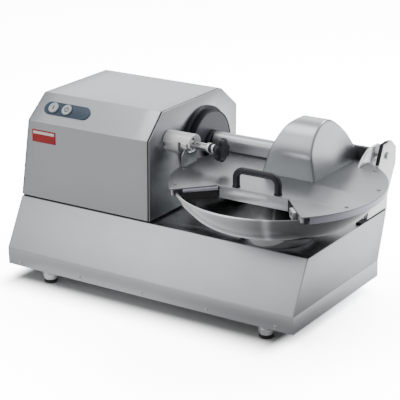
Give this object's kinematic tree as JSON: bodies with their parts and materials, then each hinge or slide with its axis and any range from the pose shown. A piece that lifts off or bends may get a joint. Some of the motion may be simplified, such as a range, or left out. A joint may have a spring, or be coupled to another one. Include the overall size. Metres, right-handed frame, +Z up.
{
  "type": "bowl cutter",
  "caption": "Table-top bowl cutter with a sheet-steel motor head, turning trough bowl, hinged lid with knife hood, belt-driven knives, latch knob and sprung push buttons.",
  "frame": {"origin": "centre of the bounding box's footprint, on the surface that the feet stand on", "axes": "+X along the base from the motor head to the bowl, +Y from the user's side to the back, +Z up"},
  "size_m": [0.972, 0.589, 0.4739],
  "materials": {
    "brushed_steel": "brushed stainless sheet",
    "satin_steel": "fine satin stainless steel",
    "polished_steel": "spun and polished stainless steel",
    "bright_steel": "bright turned steel",
    "white_steel": "bead-blasted light metal",
    "aluminium": "machined",
    "painted_iron": "dark grey enamel",
    "black_plastic": "moulded black plastic",
    "black_rubber": "moulded rubber",
    "grey_seal": "grey-violet wear strip",
    "slate_plastic": "slate-blue moulded plate",
    "cream_plastic": "pale moulded button",
    "red_plate": "plain red enamel plate"
  },
  "bodies": {
    "machine": {"base_tray": "satin_steel", "rear_skirt": "satin_steel", "front_panel": "brushed_steel", "left_panel": "brushed_steel", "right_panel": "brushed_steel", "rear_panel": "brushed_steel", "deck_plate": "brushed_steel", "chassis_rails": "painted_iron", "feet": "satin_steel", "foot_pads": "black_rubber", "skirt_screws": "bright_steel", "head_cover": "brushed_steel", "head_left_wall": "brushed_steel", "head_right_wall": "brushed_steel", "head_gasket": "black_rubber", "vent_louvres": "brushed_steel", "control_plate": "slate_plastic", "badge_plate": "red_plate", "control_box": "painted_iron", "cable_gland": "black_plastic", "knife_motor": "painted_iron", "motor_cradle": "painted_iron", "knife_belt": "black_rubber", "shaft_bearings": "bright_steel", "bearing_housing": "painted_iron", "shaft_drum": "black_plastic", "shaft_cap": "black_plastic", "bowl_stand": "polished_steel", "spindle_bearings": "bright_steel", "bowl_belt": "black_rubber", "bowl_motor": "painted_iron", "hinge_pin": "bright_steel", "hinge_brackets": "satin_steel", "bracket_gasket": "black_rubber"},
    "lid": {"lid_plate": "brushed_steel", "lid_seal": "grey_seal", "knife_hood": "satin_steel", "shaft_tunnel": "satin_steel", "lid_handle": "black_plastic", "rim_guides": "bright_steel", "lid_screws": "bright_steel", "hinge_ears": "satin_steel", "hinge_beam": "painted_iron", "latch_bracket": "satin_steel", "latch_barrel": "white_steel", "latch_collar": "bright_steel"},
    "latch": {"latch_rod": "bright_steel", "latch_knob": "black_plastic"},
    "bowl_drive": {"bowl": "polished_steel", "bowl_spindle": "bright_steel", "bowl_pulley": "aluminium"},
    "knife_drive": {"knife_shaft": "bright_steel", "shaft_pulley": "aluminium", "knife_hub": "satin_steel", "knives": "bright_steel", "hub_nut": "black_plastic"},
    "knife_motor_rotor": {"motor_pulley": "aluminium"},
    "bowl_motor_rotor": {"bowl_motor_pulley": "aluminium"},
    "start": {"start_button": "cream_plastic"},
    "stop": {"stop_button": "cream_plastic"}
  },
  "joints": [
    {"name": "lid_hinge", "type": "hinge", "parent": "machine", "child": "lid", "pos_m": [0.264, 0.2445, 0.339], "axis": [-1, 0, 0], "range_deg": [0, 92]},
    {"name": "latch_turn", "type": "hinge", "parent": "lid", "child": "latch", "pos_m": [0.014, -0.0565, 0.389], "axis": [1, 0, 0], "range_deg": [0, 90]},
    {"name": "bowl_spin", "type": "hinge", "parent": "machine", "child": "bowl_drive", "pos_m": [0.227, -0.0485, 0.2], "axis": [0, 0, 1], "continuous": true},
    {"name": "bowl_motor_spin", "type": "hinge", "parent": "machine", "child": "bowl_motor_rotor", "pos_m": [0.057, -0.0485, 0.12], "axis": [0, 0, 1], "continuous": true},
    {"name": "knife_spin", "type": "hinge", "parent": "machine", "child": "knife_drive", "pos_m": [0.014, 0.0975, 0.341], "axis": [1, 0, 0], "continuous": true},
    {"name": "knife_motor_spin", "type": "hinge", "parent": "machine", "child": "knife_motor_rotor", "pos_m": [-0.186, -0.0305, 0.288], "axis": [1, 0, 0], "continuous": true},
    {"name": "start_press", "type": "slide", "parent": "machine", "child": "start", "axis": [0, 0.7012, -0.7129], "range_m": [0, 0.002], "stiffness_N_per_m": 400},
    {"name": "stop_press", "type": "slide", "parent": "machine", "child": "stop", "axis": [0, 0.7012, -0.7129], "range_m": [0, 0.002], "stiffness_N_per_m": 400}
  ],
  "couplings": [
    {"joint": "bowl_motor_spin", "follows": "bowl_spin", "ratio": 1},
    {"joint": "knife_motor_spin", "follows": "knife_spin", "ratio": 1}
  ]
}
